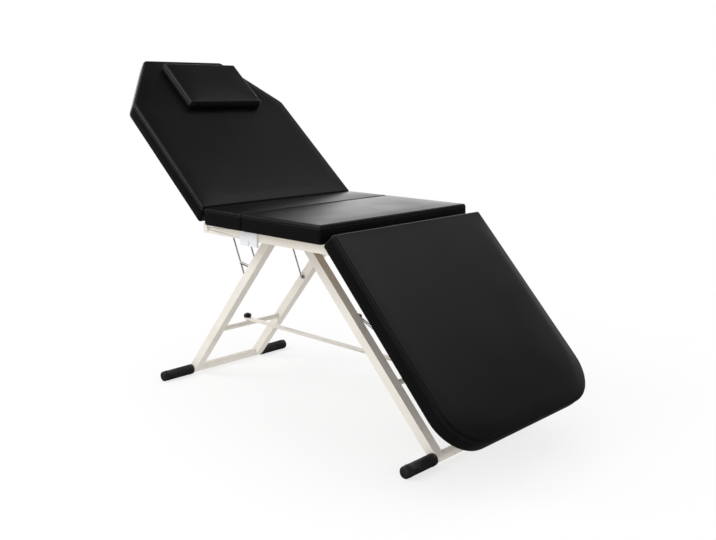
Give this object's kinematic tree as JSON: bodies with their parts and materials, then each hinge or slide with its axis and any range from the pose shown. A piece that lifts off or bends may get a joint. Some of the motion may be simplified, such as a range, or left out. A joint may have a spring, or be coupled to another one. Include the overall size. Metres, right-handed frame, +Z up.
{
  "type": "folding massage table",
  "caption": "Padded massage table with tilting backrest and leg rest, head pillow, hinged rail frame and folding tube legs with a clamped stay.",
  "frame": {"origin": "on the floor, under the middle of the table's box", "axes": "+X towards the foot end, +Y towards the table's left side, +Z up"},
  "size_m": [1.5224, 0.618, 1.0639],
  "materials": {
    "vinyl": "satin",
    "plywood": "matte",
    "frame_paint": "satin",
    "hinge_paint": "satin",
    "steel": "satin",
    "rubber": "matte",
    "black_plastic": "matte"
  },
  "bodies": {
    "backrest": {"backrest_board": "plywood", "backrest_cross_tube": "frame_paint", "backrest_cushion": "vinyl", "backrest_prop_rod": "steel", "backrest_rail_left": "frame_paint", "backrest_rail_right": "frame_paint"},
    "seat_frame": {"backrest_pivot_bolts": "steel", "backrest_pivot_washers": "steel", "front_cross_tube": "frame_paint", "front_leg_axle": "steel", "front_seat_board": "plywood", "front_seat_cushion": "vinyl", "leg_rest_hinge_left_fixed_leaf": "steel", "leg_rest_hinge_pins": "steel", "leg_rest_hinge_right_fixed_leaf": "steel", "rail_end_plugs": "black_plastic", "rear_cross_tube": "frame_paint", "rear_leg_axle": "steel", "rear_seat_board": "plywood", "rear_seat_cushion": "vinyl", "seam_hinge_front_left": "hinge_paint", "seam_hinge_front_right": "hinge_paint", "seam_hinge_pins": "steel", "seam_hinge_rear_left": "hinge_paint", "seam_hinge_rear_right": "hinge_paint", "seat_rail_front_left": "frame_paint", "seat_rail_front_right": "frame_paint", "seat_rail_rear_left": "frame_paint", "seat_rail_rear_right": "frame_paint"},
    "backrest_props": {"backrest_prop_left": "steel", "backrest_prop_right": "steel"},
    "clamp": {"clamp_knob": "black_plastic", "clamp_screw": "steel"},
    "front_legs": {"front_crossbar": "frame_paint", "front_foot_sleeve_left": "rubber", "front_foot_sleeve_right": "rubber", "front_foot_tube": "frame_paint", "front_leg_left": "frame_paint", "front_leg_right": "frame_paint", "stay_clevis": "frame_paint", "stay_pin": "steel", "strut_pins": "steel"},
    "pillow": {"head_pillow": "vinyl"},
    "leg_rest": {"leg_rest_board": "plywood", "leg_rest_cross_tube": "frame_paint", "leg_rest_cushion": "vinyl", "leg_rest_hinge_left_moving_leaf": "steel", "leg_rest_hinge_right_moving_leaf": "steel", "leg_rest_rail_left": "frame_paint", "leg_rest_rail_right": "frame_paint"},
    "leg_rest_struts": {"leg_rest_strut_left": "steel", "leg_rest_strut_right": "steel"},
    "rear_legs": {"prop_clips": "black_plastic", "rear_crossbar": "frame_paint", "rear_foot_sleeve_left": "rubber", "rear_foot_sleeve_right": "rubber", "rear_foot_tube": "frame_paint", "rear_leg_left": "frame_paint", "rear_leg_right": "frame_paint"},
    "stay": {"stay_bar": "frame_paint"}
  },
  "joints": [
    {"name": "backrest_tilt", "type": "hinge", "parent": "seat_frame", "child": "backrest", "pos_m": [-0.23963, 0, 0.5575], "axis": [0, 1, 0], "range_deg": [-40.6, 0]},
    {"name": "backrest_prop_swing", "type": "hinge", "parent": "backrest", "child": "backrest_props", "pos_m": [-0.41806, 0, 0.71043], "axis": [0, 1, 0], "range_deg": [-0.5, 19.5]},
    {"name": "pillow_slide", "type": "slide", "parent": "backrest", "child": "pillow", "axis": [-0.7593, 0, 0.6508], "range_m": [-0.15, 0.04]},
    {"name": "leg_rest_tilt", "type": "hinge", "parent": "seat_frame", "child": "leg_rest", "pos_m": [0.29041, 0, 0.567], "axis": [0, -1, 0], "range_deg": [0, 47]},
    {"name": "rear_leg_fold", "type": "hinge", "parent": "seat_frame", "child": "rear_legs", "pos_m": [-0.08009, 0, 0.5575], "axis": [0, -1, 0], "range_deg": [0, 38]},
    {"name": "front_leg_fold", "type": "hinge", "parent": "seat_frame", "child": "front_legs", "pos_m": [0.02091, 0, 0.5575], "axis": [0, 1, 0], "range_deg": [-0.5, 34.7]},
    {"name": "leg_rest_strut_swing", "type": "hinge", "parent": "front_legs", "child": "leg_rest_struts", "pos_m": [0.2329, 0, 0.338], "axis": [0, -1, 0], "range_deg": [-0.5, 51.5]},
    {"name": "stay_swing", "type": "hinge", "parent": "front_legs", "child": "stay", "pos_m": [0.37719, 0, 0.1925], "axis": [0, -1, 0], "range_deg": [-0.5, 26.4]},
    {"name": "clamp_turn", "type": "hinge", "parent": "stay", "child": "clamp", "pos_m": [-0.40967, 0, 0.1925], "axis": [0, 0, 1], "range_deg": [0, 720]}
  ],
  "couplings": [
    {"joint": "backrest_prop_swing", "follows": "backrest_tilt", "ratio": -0.4668},
    {"joint": "leg_rest_strut_swing", "follows": "leg_rest_tilt", "ratio": 1.081},
    {"joint": "front_leg_fold", "follows": "rear_leg_fold", "ratio": 0.9},
    {"joint": "stay_swing", "follows": "rear_leg_fold", "ratio": 0.68}
  ]
}
